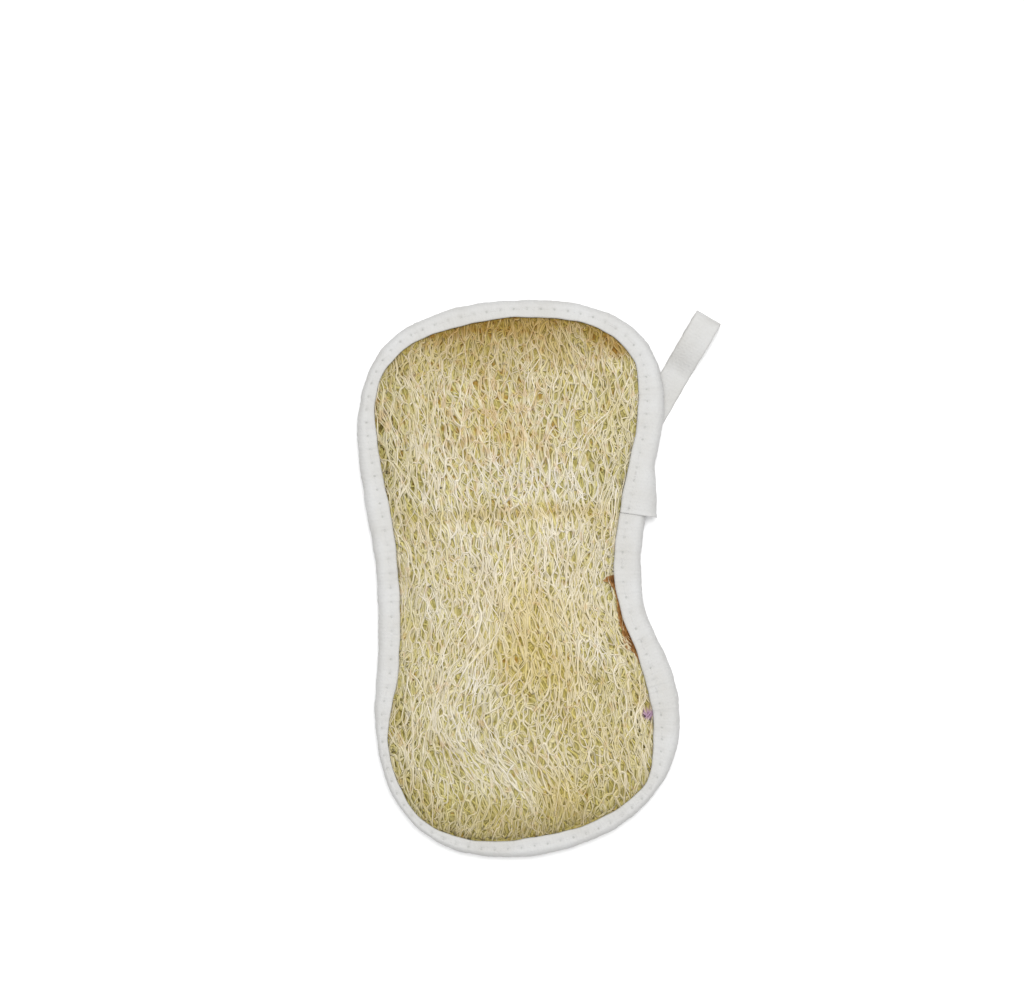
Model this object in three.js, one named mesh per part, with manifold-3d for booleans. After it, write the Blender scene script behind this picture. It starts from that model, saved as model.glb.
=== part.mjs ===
// A waisted bath pad of natural luffa, bound round its edge with folded white cotton tape.
// It lies on its back with the long axis along Y and the washing face up, in millimetres.
// The origin is the middle of the small flat spot that the pad rests on.
import * as THREE from "three";
import { mergeVertices } from "three/addons/utils/BufferGeometryUtils.js";
import Module from "manifold-3d";

const wasm = await Module();
wasm.setup();

// The outer edge of the bound pad, clockwise from the top, with the width of tape seen on the face there.
const EDGE = [
  { x: 8, y: 98.4, tape: 6.4 },
  { x: 28, y: 95.6, tape: 6.6 },
  { x: 42.5, y: 88.6, tape: 7.0 },
  { x: 51.5, y: 78, tape: 7.8 },
  { x: 54.6, y: 65.5, tape: 9.0 },
  { x: 53.6, y: 51, tape: 9.3 },
  { x: 49.9, y: 36, tape: 9.4 },
  { x: 45.8, y: 18, tape: 9.6 },
  { x: 43.4, y: 2, tape: 9.8 },
  { x: 44.0, y: -13, tape: 8.6 },
  { x: 48.4, y: -25, tape: 8.4 },
  { x: 52.8, y: -37.5, tape: 8.8 },
  { x: 54.5, y: -50.5, tape: 9.2 },
  { x: 52.6, y: -63.5, tape: 8.2 },
  { x: 46.4, y: -76, tape: 5.6 },
  { x: 36.4, y: -86, tape: 5.6 },
  { x: 23, y: -93.4, tape: 6.3 },
  { x: 6, y: -97.9, tape: 6.9 },
  { x: -12, y: -98.5, tape: 6.2 },
  { x: -28, y: -94.9, tape: 5.0 },
  { x: -41, y: -86.2, tape: 3.8 },
  { x: -49, y: -74, tape: 3.8 },
  { x: -53, y: -59, tape: 4.0 },
  { x: -53.6, y: -45.5, tape: 5.6 },
  { x: -52, y: -30, tape: 7.8 },
  { x: -50.4, y: -8, tape: 7.6 },
  { x: -51, y: 12, tape: 7.6 },
  { x: -53.2, y: 30, tape: 7.8 },
  { x: -54.6, y: 47, tape: 6.8 },
  { x: -53.6, y: 63, tape: 5.2 },
  { x: -48.6, y: 77.6, tape: 4.6 },
  { x: -38.6, y: 88.8, tape: 5.8 },
  { x: -24, y: 95.2, tape: 6.8 },
  { x: -8, y: 98.2, tape: 6.8 },
];
const EDGE_STEPS = 100;

// Heights, all above the surface that the pad lies on.
const RIM_MID = 6.4; // the middle of the bound rim
const RIM_HALF = 4.6; // from there to the tape's face
const CROWN = 19.2; // the highest part of the washing face
const CROWN_RUN = 19; // how far in from the tape the face goes on rising
const TOP_SLOPE = { y: 58, run: 15 }; // above y the face rises more gently, over so much more
const BACK_RUN = 14; // how far in from the tape the back goes on falling

// The tape that wraps the edge.
const TAPE = 1.0; // thickness of the folded cotton
const TAPE_BACK = 8.0; // its width on the back
const RIM_DEPTH = 3.2; // how far in the rounding of the rim reaches
const SIDE_ROUND = 0.75; // share of that taken by the rounding of the luffa inside
const TAPE_INNER_DROP = 0.25; // the tape's inner border dips into the luffa by this
const CLEAR = 0.3; // between pieces that touch

// The lap, where the tape's last end lies over its beginning on the right side.
const LAP_Y = { cut: 19.6, sunk: 38 };
const LAP_FLARE = 3.2; // how far the cut end stands out past the tape under it
const LAP_RISE = 0.9;

// The raised net of fibre bundles. The cells follow the pad in at the waist.
const FRONT_NET = { wide: 6.3, long: 10.4, relief: 1.5, seed: 7 };
const BACK_NET = { wide: 8.6, long: 14.4, relief: 1.2, seed: 19 };
const NET_WANDER = 0.23; // of a cell's width, how far a joint of the net strays
const NET_WALL = 0.3; // share of the way to a cell's middle that its sloping walls take
const NET_HEM = { from: 9, past: 4.6, to: 0.5 }; // a strip drawn in to keep its cells whole
const WAIST = { y: 0, depth: 0.17, reach: 42 };
const UNDER_TAPE = 0.7; // from the tape's inner side down to the luffa under it
const FLAT_SPOT = { x: 15, y: 26 }; // half-axes of the spot pressed flat on the back
const CREASE = { y: 23, depth: 1.2, half: 3.2, from: -34, to: 32 };

// The hanging loop, a doubled tape sewn under the rim at the upper right.
const LOOP_ROOT = { x: 50.1, y: 54.8 };
const LOOP_TURN = THREE.MathUtils.degToRad(57); // its direction, from +X towards +Y
const LOOP = { wide: 10, sewn: 9, long: 41, ply: 0.8, eyeLong: 22, eyeHigh: 6.6 };

const COTTON = { color: 0xe9e7e2, roughness: 0.9, metalness: 0 };
const LUFFA = { color: 0xd6c795, roughness: 0.85, metalness: 0 };

function randomFrom(seed) {
  let state = seed;
  return () => {
    state = (state + 0x6d2b79f5) | 0;
    let t = Math.imul(state ^ (state >>> 15), 1 | state);
    t = (t + Math.imul(t ^ (t >>> 7), 61 | t)) ^ t;
    return ((t ^ (t >>> 14)) >>> 0) / 4294967296;
  };
}

// Even steps round the outer edge: place, inward direction and tape width.
function edgeSteps() {
  const through = EDGE.map((p) => new THREE.Vector3(p.x, p.y, p.tape));
  const curve = new THREE.CatmullRomCurve3(through, true, "centripetal");
  const at = curve.getSpacedPoints(EDGE_STEPS).slice(0, EDGE_STEPS);
  return at.map((p, i) => {
    const before = at[(i + EDGE_STEPS - 1) % EDGE_STEPS];
    const after = at[(i + 1) % EDGE_STEPS];
    const along = new THREE.Vector2(after.x - before.x, after.y - before.y).normalize();
    return { x: p.x, y: p.y, tape: p.z, inX: along.y, inY: -along.x };
  });
}
const edge = edgeSteps();

function rimDepth(tape) {
  return Math.min(RIM_DEPTH, tape * 0.45);
}

function inset(step, depth, z) {
  return [step.x + step.inX * depth, step.y + step.inY * depth, z];
}

// Distance in from the outer edge, with the tape's width and the way in at the nearest place.
function depthAt(x, y) {
  let best = { depth: Infinity };
  edge.forEach((a, i) => {
    const b = edge[(i + 1) % edge.length];
    const run = { x: b.x - a.x, y: b.y - a.y };
    const share = ((x - a.x) * run.x + (y - a.y) * run.y) / (run.x ** 2 + run.y ** 2);
    const t = THREE.MathUtils.clamp(share, 0, 1);
    const gap = Math.hypot(x - a.x - run.x * t, y - a.y - run.y * t);
    if (gap < Math.abs(best.depth)) {
      const side = (x - a.x) * a.inX + (y - a.y) * a.inY;
      best = {
        depth: gap * Math.sign(side),
        tape: THREE.MathUtils.lerp(a.tape, b.tape, t),
        inX: THREE.MathUtils.lerp(a.inX, b.inX, t),
        inY: THREE.MathUtils.lerp(a.inY, b.inY, t),
      };
    }
  });
  return best;
}

// A surface that leaves the level under the tape and eases to its full height over run.
function eased(past, run, power) {
  const t = THREE.MathUtils.clamp(past / run, 0, 1);
  return 1 - (1 - t) ** power;
}

function crease(x, y) {
  if (x < CREASE.from || x > CREASE.to) return 0;
  return CREASE.depth * Math.exp(-(((y - CREASE.y) / CREASE.half) ** 2));
}

const FRONT_LOW = RIM_MID + RIM_HALF - TAPE - UNDER_TAPE;
const BACK_LOW = RIM_MID - RIM_HALF + TAPE + UNDER_TAPE;

function frontHeight(x, y) {
  const { depth, tape } = depthAt(x, y);
  const past = depth - tape;
  const swell = 0.45 * Math.sin(x / 17 + 1) * Math.cos(y / 23);
  const gentle = THREE.MathUtils.smoothstep(y, TOP_SLOPE.y - 20, TOP_SLOPE.y + 20);
  const share = eased(past, CROWN_RUN + TOP_SLOPE.run * gentle, 2.2);
  return FRONT_LOW + (CROWN - FRONT_LOW + swell - crease(x, y)) * share;
}

function backHeight(x, y) {
  return BACK_LOW * (1 - eased(depthAt(x, y).depth - TAPE_BACK, BACK_RUN, 2));
}

// A closed mesh from loose triangles, as a geometry whose shared corners are one.
function solidGeometry(triangles) {
  const loose = new THREE.BufferGeometry();
  loose.setAttribute("position", new THREE.Float32BufferAttribute(triangles.flat(2), 3));
  return mergeVertices(loose, 1e-3);
}

function toManifold(geometry) {
  const vertProperties = geometry.attributes.position.array;
  const triVerts = new Uint32Array(geometry.index.array);
  return new wasm.Manifold(new wasm.Mesh({ numProp: 3, vertProperties, triVerts }));
}

function fromManifold(solid) {
  const made = solid.getMesh();
  const geometry = new THREE.BufferGeometry();
  geometry.setAttribute("position", new THREE.BufferAttribute(made.vertProperties, 3));
  geometry.setIndex(new THREE.BufferAttribute(made.triVerts, 1));
  return geometry;
}

// Triangles between neighbouring rings of points; closed joins the last ring to the first.
function sweptTriangles(rings, closed) {
  const count = rings[0].length;
  const faces = [];
  rings.forEach((ring, i) => {
    if (!closed && i === rings.length - 1) return;
    const next = rings[(i + 1) % rings.length];
    for (let j = 0; j < count; j++) {
      const k = (j + 1) % count;
      faces.push([ring[j], next[j], next[k]], [ring[j], next[k], ring[k]]);
    }
  });
  if (!closed) {
    const outline = rings[0].map((p) => new THREE.Vector2(...p.slice(3)));
    THREE.ShapeUtils.triangulateShape(outline, []).forEach(([a, b, c]) => {
      const first = rings[0];
      const last = rings[rings.length - 1];
      faces.push([first[a], first[b], first[c]], [last[a], last[c], last[b]]);
    });
  }
  return faces.map((face) => face.map((p) => p.slice(0, 3)));
}

// The wrapped tape's section at one step: the outside from face to back, then the inside.
// lift is how far it is padded out, flare pushes its rim out further, inside is how far
// the section reaches in from the tape's own outside, and past widens it at both borders.
function tapeSection(step, { lift = 0, flare = 0, inside = TAPE, past = 0 } = {}) {
  const rim = rimDepth(step.tape);
  const points = [];
  const put = (depth, rise) => {
    points.push([...inset(step, depth, RIM_MID + rise), depth, rise]);
  };
  const arc = (angle, skin, push) => {
    const a = THREE.MathUtils.degToRad(angle);
    const depth = rim * (1 - Math.cos(a)) - (skin + push) * Math.cos(a);
    put(depth, (RIM_HALF + skin) * Math.sin(a));
  };
  put(step.tape + past, RIM_HALF + lift - TAPE_INNER_DROP);
  [90, 56, 20, -20, -56, -90].forEach((angle) => arc(angle, lift, flare));
  put(TAPE_BACK + past, -RIM_HALF - lift + TAPE_INNER_DROP);
  put(TAPE_BACK + past, -RIM_HALF + inside);
  [-90, -40, 0, 40, 90].forEach((angle) => arc(angle, -inside, 0));
  put(step.tape + past, RIM_HALF - inside);
  return points;
}

function tapeSolid(look) {
  const sections = edge.map((step) => tapeSection(step, look));
  return toManifold(solidGeometry(sweptTriangles(sections, true)));
}

function bindingGeometry() {
  const lapped = edge.filter((s) => s.x > 0 && s.y > LAP_Y.cut && s.y < LAP_Y.sunk);
  lapped.sort((a, b) => b.y - a.y);
  const sections = lapped.map((step) => {
    const share = THREE.MathUtils.inverseLerp(LAP_Y.sunk, LAP_Y.cut, step.y);
    const lift = THREE.MathUtils.lerp(-0.2, LAP_RISE, Math.min(1, share * 3));
    return tapeSection(step, { lift, flare: LAP_FLARE * share ** 1.5, inside: TAPE / 2 });
  });
  const lap = toManifold(solidGeometry(sweptTriangles(sections, false)));
  return fromManifold(tapeSolid().add(lap));
}

// How far the net's columns are drawn in at a height, so that they follow the waist.
function drawnIn(y) {
  return 1 - WAIST.depth * Math.exp(-(((y - WAIST.y) / WAIST.reach) ** 2));
}

// How far in a place is from the mat's loop under the tape.
function reachIn({ depth, tape }) {
  return depth - TAPE - CLEAR - SIDE_ROUND * rimDepth(tape);
}

// A place moved inwards if it is in the hem, by more the further out it is.
function hemmed(x, y) {
  const near = depthAt(x, y);
  const reach = reachIn(near);
  const { from, past, to } = NET_HEM;
  const move = THREE.MathUtils.mapLinear(reach, -past, from, to + past, 0);
  if (reach > from) return { x, y };
  return { x: x + near.inX * move, y: y + near.inY * move };
}

// The joints and cells of a wandering six-sided net that covers the pad.
function netCells(net) {
  const joints = new Map();
  const random = randomFrom(net.seed);
  const rowStep = net.long * 0.75;
  const corners = [
    [0, 2],
    [1, 1],
    [1, -1],
    [0, -2],
    [-1, -1],
    [-1, 1],
  ];
  const joint = (column, row) => {
    const key = column + "," + row;
    if (!joints.has(key)) {
      const turn = random() * Math.PI * 2;
      const stray = Math.sqrt(random()) * NET_WANDER * net.wide;
      const y = (row * net.long) / 4 + stray * 1.25 * Math.sin(turn);
      const x = ((column * net.wide) / 2 + stray * Math.cos(turn)) * drawnIn(y);
      joints.set(key, { key, ...hemmed(x, y) });
    }
    return joints.get(key);
  };
  const cells = [];
  const rows = Math.ceil(100 / rowStep);
  const columns = Math.ceil(60 / net.wide);
  for (let row = -rows; row <= rows; row++) {
    for (let column = -columns; column <= columns; column++) {
      const middle = 2 * column + (row % 2 ? 1 : 0);
      cells.push(corners.map(([dx, dy]) => joint(middle + dx, 3 * row + dy)));
    }
  }
  return cells;
}

// Adds a joint to a cell's side where the side crosses under the tape's inner border.
function splitAtTape(cell, visible) {
  return cell.flatMap((a, i) => {
    const b = cell[(i + 1) % cell.length];
    const [first, second] = a.key < b.key ? [a, b] : [b, a];
    let [low, high] = [first, second];
    if (visible(low) > 0 === visible(high) > 0) return [a];
    for (let i = 0; i < 20; i++) {
      const middle = { x: (low.x + high.x) / 2, y: (low.y + high.y) / 2 };
      if (visible(middle) > 0 === visible(low) > 0) low = middle;
      else high = middle;
    }
    return [a, { key: first.key + "|" + second.key, x: low.x, y: low.y }];
  });
}

// One face of the mat: raised net, sunk cells, and a plain border out to loop, under the tape.
// up is 1 for the washing face and -1 for the back.
function netFace(net, height, up, tapeWidth, loop) {
  const visible = (p) => {
    const { depth, tape } = depthAt(p.x, p.y);
    return depth - (tapeWidth ?? tape);
  };
  const inside = (p) => reachIn(depthAt(p.x, p.y)) > NET_HEM.to - 0.1;
  const kept = netCells(net).filter((cell) => cell.every(inside));
  const crest = (p) => [p.x, p.y, height(p.x, p.y)];
  const faces = [];
  const sides = new Map();
  kept.forEach((plain) => {
    const cell = splitAtTape(plain, visible);
    const middle = new THREE.Vector2();
    cell.forEach((p) => middle.add(new THREE.Vector2(p.x / cell.length, p.y / cell.length)));
    const flat = up < 0 && (middle.x / FLAT_SPOT.x) ** 2 + (middle.y / FLAT_SPOT.y) ** 2 < 1;
    const depth = flat ? 0 : net.relief;
    const floor = cell.map((p) => {
      const x = THREE.MathUtils.lerp(p.x, middle.x, NET_WALL);
      const y = THREE.MathUtils.lerp(p.y, middle.y, NET_WALL);
      return [x, y, height(x, y) - up * depth];
    });
    cell.forEach((a, i) => {
      const k = (i + 1) % cell.length;
      const b = cell[k];
      faces.push([crest(a), crest(b), floor[k]], [crest(a), floor[k], floor[i]]);
      sides.set(a.key + ">" + b.key, [a, b]);
    });
    const outline = floor.map(([x, y]) => new THREE.Vector2(x, y));
    THREE.ShapeUtils.triangulateShape(outline, []).forEach((corner) => {
      faces.push(corner.map((i) => floor[i]));
    });
  });
  const rim = borderOf(sides);
  const outer = loop.map(([x, y]) => new THREE.Vector2(x, y));
  const hole = rim.map((p) => new THREE.Vector2(p.x, p.y));
  const all = [...loop, ...rim.map(crest)];
  THREE.ShapeUtils.triangulateShape(outer, [hole]).forEach((corner) => {
    faces.push(corner.map((i) => all[i]));
  });
  return faces.map((face) => facing(face, up));
}

// The net's outermost sides, in order.
function borderOf(sides) {
  const next = new Map();
  sides.forEach(([a, b]) => {
    if (!sides.has(b.key + ">" + a.key)) next.set(a.key, [a, b.key]);
  });
  const start = next.keys().next().value;
  const ring = [];
  let key = start;
  do {
    const [joint, after] = next.get(key);
    ring.push(joint);
    key = after;
  } while (key !== start);
  return ring;
}

// The same triangle, turned to face up (1) or down (-1).
function facing([a, b, c], up) {
  const turn = (b[0] - a[0]) * (c[1] - a[1]) - (b[1] - a[1]) * (c[0] - a[0]);
  return turn * up > 0 ? [a, b, c] : [a, c, b];
}

// The mat's rounded side inside the tape, from the face's loop to the back's loop.
function matSide() {
  const skin = TAPE + CLEAR;
  const half = RIM_HALF - TAPE - UNDER_TAPE;
  return edge.map((step) => {
    return [90, 50, 0, -50, -90].map((angle) => {
      const a = THREE.MathUtils.degToRad(angle);
      const depth = skin + SIDE_ROUND * rimDepth(step.tape) * (1 - Math.cos(a));
      return inset(step, depth, RIM_MID + half * Math.sin(a));
    });
  });
}

function matGeometry() {
  const side = matSide();
  const last = side[0].length - 1;
  const faces = [];
  side.forEach((ring, i) => {
    const next = side[(i + 1) % side.length];
    for (let j = 0; j < last; j++) {
      faces.push([ring[j], next[j], next[j + 1]], [ring[j], next[j + 1], ring[j + 1]]);
    }
  });
  const loops = [0, last].map((end) => side.map((ring) => ring[end]));
  faces.push(...netFace(FRONT_NET, frontHeight, 1, undefined, loops[0]));
  faces.push(...netFace(BACK_NET, backHeight, -1, TAPE_BACK, loops[1]));
  const room = tapeSolid({ lift: 2 * LAP_RISE, inside: TAPE + CLEAR, past: CLEAR });
  const cut = toManifold(solidGeometry(faces)).subtract(room);
  const whole = cut.decompose().sort((a, b) => b.volume() - a.volume())[0];
  return fromManifold(whole);
}

// The loop's side view: two plies sewn together at the root and parted round the eye.
function loopGeometry() {
  const { sewn, long, ply, eyeLong, eyeHigh, wide } = LOOP;
  const end = sewn + long;
  const top = eyeHigh + 2 * ply;
  const eyeFrom = end - ply - eyeLong;
  const outline = new THREE.Shape();
  outline.moveTo(0, 0);
  outline.lineTo(end - top / 2, 0);
  outline.absarc(end - top / 2, top / 2, top / 2, -Math.PI / 2, Math.PI / 2, false);
  outline.bezierCurveTo(eyeFrom + 6, top, eyeFrom + 4, 2 * ply, eyeFrom - 1.5, 2 * ply);
  outline.lineTo(0, 2 * ply);
  outline.closePath();
  const eye = new THREE.Path();
  const round = eyeHigh / 2;
  eye.moveTo(eyeFrom, ply);
  eye.bezierCurveTo(eyeFrom + 4, ply, eyeFrom + 6, top - ply, end - top / 2, top - ply);
  eye.absarc(end - top / 2, top / 2, round, Math.PI / 2, -Math.PI / 2, true);
  eye.closePath();
  outline.holes.push(eye);
  const geometry = new THREE.ExtrudeGeometry(outline, {
    depth: wide,
    bevelEnabled: false,
    curveSegments: 9,
  });
  geometry.translate(0, 0, -wide / 2);
  geometry.rotateX(Math.PI / 2);
  return geometry;
}

function piece(name, geometry, look) {
  const mesh = new THREE.Mesh(geometry, new THREE.MeshStandardMaterial(look));
  mesh.name = name;
  return mesh;
}

const pad = new THREE.Group();
pad.add(piece("luffa_mat", matGeometry(), LUFFA));
pad.add(piece("edge_binding", bindingGeometry(), COTTON));

const loop = piece("hanging_loop", loopGeometry(), COTTON);
loop.rotation.z = LOOP_TURN;
loop.position.set(
  LOOP_ROOT.x - LOOP.sewn * Math.cos(LOOP_TURN),
  LOOP_ROOT.y - LOOP.sewn * Math.sin(LOOP_TURN),
  0,
);
pad.add(loop);

export default pad;
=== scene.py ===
"""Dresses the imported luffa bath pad: fine fibre nets, cotton tape with its stitches, and the loop.

All shapes are worked out in millimetres in the pad's own frame, and turned to metres on the way out.
"""

import math

import bpy
import numpy as np
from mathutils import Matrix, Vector
from mathutils.geometry import delaunay_2d_cdt


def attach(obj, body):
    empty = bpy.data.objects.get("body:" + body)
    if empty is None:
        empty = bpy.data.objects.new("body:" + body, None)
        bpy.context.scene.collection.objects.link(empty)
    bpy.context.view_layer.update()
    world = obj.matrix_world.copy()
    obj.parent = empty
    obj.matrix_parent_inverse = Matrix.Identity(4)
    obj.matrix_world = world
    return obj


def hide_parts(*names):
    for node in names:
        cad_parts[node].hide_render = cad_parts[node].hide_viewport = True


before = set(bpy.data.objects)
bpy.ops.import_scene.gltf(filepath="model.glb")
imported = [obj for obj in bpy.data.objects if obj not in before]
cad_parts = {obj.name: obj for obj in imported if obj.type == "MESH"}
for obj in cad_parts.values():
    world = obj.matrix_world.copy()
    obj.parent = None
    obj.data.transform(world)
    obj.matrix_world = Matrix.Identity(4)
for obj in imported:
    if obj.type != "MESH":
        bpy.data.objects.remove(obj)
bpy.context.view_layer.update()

MM = 0.001

# the pad's form

# It is as in the solids, but with tape up to 1.3 mm wider on the face and the fibres nearer to it.

# The outer edge of the bound pad, clockwise from the top: x, y and the width of tape seen on the face.
EDGE = np.array(
    [
        (8, 98.4, 6.4), (28, 95.6, 6.6), (42.5, 88.6, 7.0), (51.5, 78, 7.8),
        (54.6, 65.5, 9.0), (53.6, 51, 9.3), (49.9, 36, 9.4), (45.8, 18, 9.6),
        (43.4, 2, 9.8), (44.0, -13, 8.6), (48.4, -25, 8.9), (52.8, -37.5, 10.1),
        (54.5, -50.5, 9.9), (52.6, -63.5, 8.7), (46.4, -76, 5.6), (36.4, -86, 5.6),
        (23, -93.4, 6.3), (6, -97.9, 6.9), (-12, -98.5, 6.2), (-28, -94.9, 5.0),
        (-41, -86.2, 3.8), (-49, -74, 3.8), (-53, -59, 4.0), (-53.6, -45.5, 5.6),
        (-52, -30, 7.8), (-50.4, -8, 7.8), (-51, 12, 8.2), (-53.2, 30, 8.3),
        (-54.6, 47, 7.5), (-53.6, 63, 5.9), (-48.6, 77.6, 5.3), (-38.6, 88.8, 6.2),
        (-24, 95.2, 6.8), (-8, 98.2, 6.8),
    ]
)
EDGE_STEPS = 1280

# Height of the rim's middle, half its thickness with the tape, and how far in its rounding reaches.
RIM_MID = 6.4
RIM_HALF = 4.6
RIM_DEPTH = 3.2

# Height of the face's crests, how far in from the tape they reach it, and how quickly they rise.
CROWN = 19.2
CROWN_RUN = 19
CROWN_POWER = 2.2
TOP_SLOPE = {"y": 58, "run": 15, "fade": 20}
SWELL = {"high": 0.45, "across": 17, "along": 23}
CREASE = {"y": 23, "depth": 1.2, "half": 3.2, "from": -34, "to": 32, "fade": 4}
BACK_RUN = 14
BACK_POWER = 2
WAIST = {"depth": 0.17, "reach": 42}

# Thickness of the tape, its width on the back, and how far under its inner side the fibres lie.
TAPE = 1.0
TAPE_BACK = 8.0
UNDER_TAPE = 0.35

# Where the tape's last end is cut and where it sinks in, and how far it stands out and up at the cut.
LAP_Y = {"cut": 19.6, "sunk": 38}
LAP_FLARE = 3.2
LAP_RISE = 0.9

LOOP_ROOT = (50.1, 54.8)
LOOP_TURN = math.radians(57)
LOOP = {"wide": 10, "sewn": 9, "long": 41, "ply": 0.8, "eye_long": 22, "eye_high": 6.6}

FRONT_LOW = RIM_MID + RIM_HALF - TAPE - UNDER_TAPE
BACK_LOW = RIM_MID - RIM_HALF + TAPE + UNDER_TAPE


def closed_curve(through, per_span=60):
    """A closed centripetal Catmull-Rom curve through the points."""
    p = [np.roll(through, 1 - k, axis=0) for k in range(4)]
    gap = [np.maximum(np.linalg.norm(p[k + 1] - p[k], axis=1), 1e-6)[:, None] ** 0.5 for k in range(3)]
    start = (p[1] - p[0]) / gap[0] - (p[2] - p[0]) / (gap[0] + gap[1]) + (p[2] - p[1]) / gap[1]
    end = (p[2] - p[1]) / gap[1] - (p[3] - p[1]) / (gap[1] + gap[2]) + (p[3] - p[2]) / gap[2]
    start, end = start * gap[1], end * gap[1]
    t = np.linspace(0, 1, per_span, endpoint=False)[None, :, None]
    a, b, c, d = p[1][:, None], p[2][:, None], start[:, None], end[:, None]
    curve = a + c * t + (3 * (b - a) - 2 * c - d) * t**2 + (2 * (a - b) + c + d) * t**3
    return curve.reshape(-1, through.shape[1])


def even_steps(curve, count):
    """Points at even lengths along a closed curve, with the length at each."""
    shut = np.vstack([curve, curve[:1]])
    length = np.concatenate([[0], np.cumsum(np.linalg.norm(np.diff(shut[:, :2], axis=0), axis=1))])
    at = np.linspace(0, length[-1], count, endpoint=False)
    return np.stack([np.interp(at, length, shut[:, k]) for k in range(curve.shape[1])], 1), at


def unit(vectors):
    return vectors / np.maximum(np.linalg.norm(vectors, axis=-1, keepdims=True), 1e-9)


def inward_of(ring):
    """The direction inwards at each point of a closed clockwise ring."""
    along = unit(np.roll(ring[:, :2], -1, axis=0) - np.roll(ring[:, :2], 1, axis=0))
    return np.stack([along[:, 1], -along[:, 0]], 1)


edge, edge_run = even_steps(closed_curve(EDGE), EDGE_STEPS)
EDGE_LENGTH = edge_run[1] * EDGE_STEPS
edge_in = inward_of(edge)

GRID_STEP = 0.5
GRID_X = np.arange(-64, 64 + GRID_STEP, GRID_STEP)
GRID_Y = np.arange(-108, 108 + GRID_STEP, GRID_STEP)
AT_ONCE = 8000


def edge_grids():
    """Depth in from the edge and width of the tape, worked out once for each point of a grid."""
    gx, gy = np.meshgrid(GRID_X, GRID_Y, indexing="ij")
    flat = np.stack([gx.ravel(), gy.ravel()], 1)
    depth = np.empty(len(flat))
    tape = np.empty(len(flat))
    for at in range(0, len(flat), AT_ONCE):
        part = flat[at : at + AT_ONCE]
        gap = part[:, None, :] - edge[None, :, :2]
        near = np.argmin((gap**2).sum(2), axis=1)
        rows = np.arange(len(part))
        away = gap[rows, near]
        side = np.sign((away * edge_in[near]).sum(1))
        depth[at : at + AT_ONCE] = np.linalg.norm(away, axis=1) * side
        tape[at : at + AT_ONCE] = edge[near, 2]
    return depth.reshape(gx.shape), tape.reshape(gx.shape)


DEPTH, TAPE_AT = edge_grids()


def on_grid(grid, x, y):
    """The value at x, y, from the four grid points round it."""
    fx = np.clip((x - GRID_X[0]) / GRID_STEP, 0, len(GRID_X) - 1.001)
    fy = np.clip((y - GRID_Y[0]) / GRID_STEP, 0, len(GRID_Y) - 1.001)
    ix, iy = fx.astype(int), fy.astype(int)
    tx, ty = fx - ix, fy - iy
    low = grid[ix, iy] * (1 - tx) + grid[ix + 1, iy] * tx
    high = grid[ix, iy + 1] * (1 - tx) + grid[ix + 1, iy + 1] * tx
    return low * (1 - ty) + high * ty


def smoothstep(value, low, high):
    t = np.clip((value - low) / (high - low), 0, 1)
    return t * t * (3 - 2 * t)


def eased(past, run, power):
    """Rises from 0 to 1 over a run, steeply at first."""
    return 1 - (1 - np.clip(past / run, 0, 1)) ** power


def drawn_in(y):
    return 1 - WAIST["depth"] * np.exp(-((y / WAIST["reach"]) ** 2))


def past_tape(x, y):
    """How far in x, y lies from the tape's inner border on the face."""
    return on_grid(DEPTH, x, y) - on_grid(TAPE_AT, x, y)


def front_height(x, y):
    """Height of the crests on the face."""
    swell = SWELL["high"] * np.sin(x / SWELL["across"] + 1) * np.cos(y / SWELL["along"])
    fade = CREASE["fade"]
    fold = CREASE["depth"] * np.exp(-(((y - CREASE["y"]) / CREASE["half"]) ** 2))
    fold = fold * smoothstep(x, CREASE["from"] - fade, CREASE["from"] + fade)
    fold = fold * (1 - smoothstep(x, CREASE["to"] - fade, CREASE["to"] + fade))
    gentle = smoothstep(y, TOP_SLOPE["y"] - TOP_SLOPE["fade"], TOP_SLOPE["y"] + TOP_SLOPE["fade"])
    share = eased(past_tape(x, y), CROWN_RUN + TOP_SLOPE["run"] * gentle, CROWN_POWER)
    return FRONT_LOW + (CROWN - FRONT_LOW + swell - fold) * share


def back_height(x, y):
    """Height of the crests on the back, which are lowest in its middle."""
    return BACK_LOW * (1 - eased(on_grid(DEPTH, x, y) - TAPE_BACK, BACK_RUN, BACK_POWER))


# what varies over the mat

# Round patches on the mat: how strong each is, where its middle lies, and how far it reaches in x and y.
OPEN = [
    (0.75, (-44, 48), (9, 30)),
    (0.60, (-44, -60), (10, 26)),
    (0.45, (40, -54), (10, 24)),
    (0.30, (34, 44), (10, 26)),
]
# The first brown patch, a narrow band along the top tape's inner border, is painted shade; the rest are
# brown spots.
BROWN_AND_SHADE = [
    (0.70, (0, 90.5), (30, 3.6)),
    (0.10, (-43, 61), (6, 12)),
    (0.70, (32.5, 85), (5, 3.5)),
    (0.80, (39.5, 79.5), (5, 3.5)),
]
YELLOW = [
    (0.90, (3, -24), (14, 25)),
    (0.20, (24, -52), (18, 24)),
    (0.55, (12, -77), (13, 7)),
    (0.35, (-6, 52), (14, 16)),
    (-0.50, (4, 34), (36, 6)),
    (-0.45, (-16, -56), (16, 20)),
]
RUST = [
    (1.0, (-4, 55), (26, 20)),
    (0.8, (34, 80), (12, 8)),
    (0.6, (-44, 62), (7, 13)),
    (0.7, (-12, 88), (26, 7)),
]
MAUVE = {"at": (43.2, -50.1), "reach": (2.7, 1.7)}
WAVE_COUNT = 5


def bump(x, y, at, size):
    return np.exp(-(((x - at[0]) / size[0]) ** 2) - ((y - at[1]) / size[1]) ** 2)


def with_patches(value, x, y, patches):
    for strength, at, reach in patches:
        value = value + strength * bump(x, y, at, reach)
    return value


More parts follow.
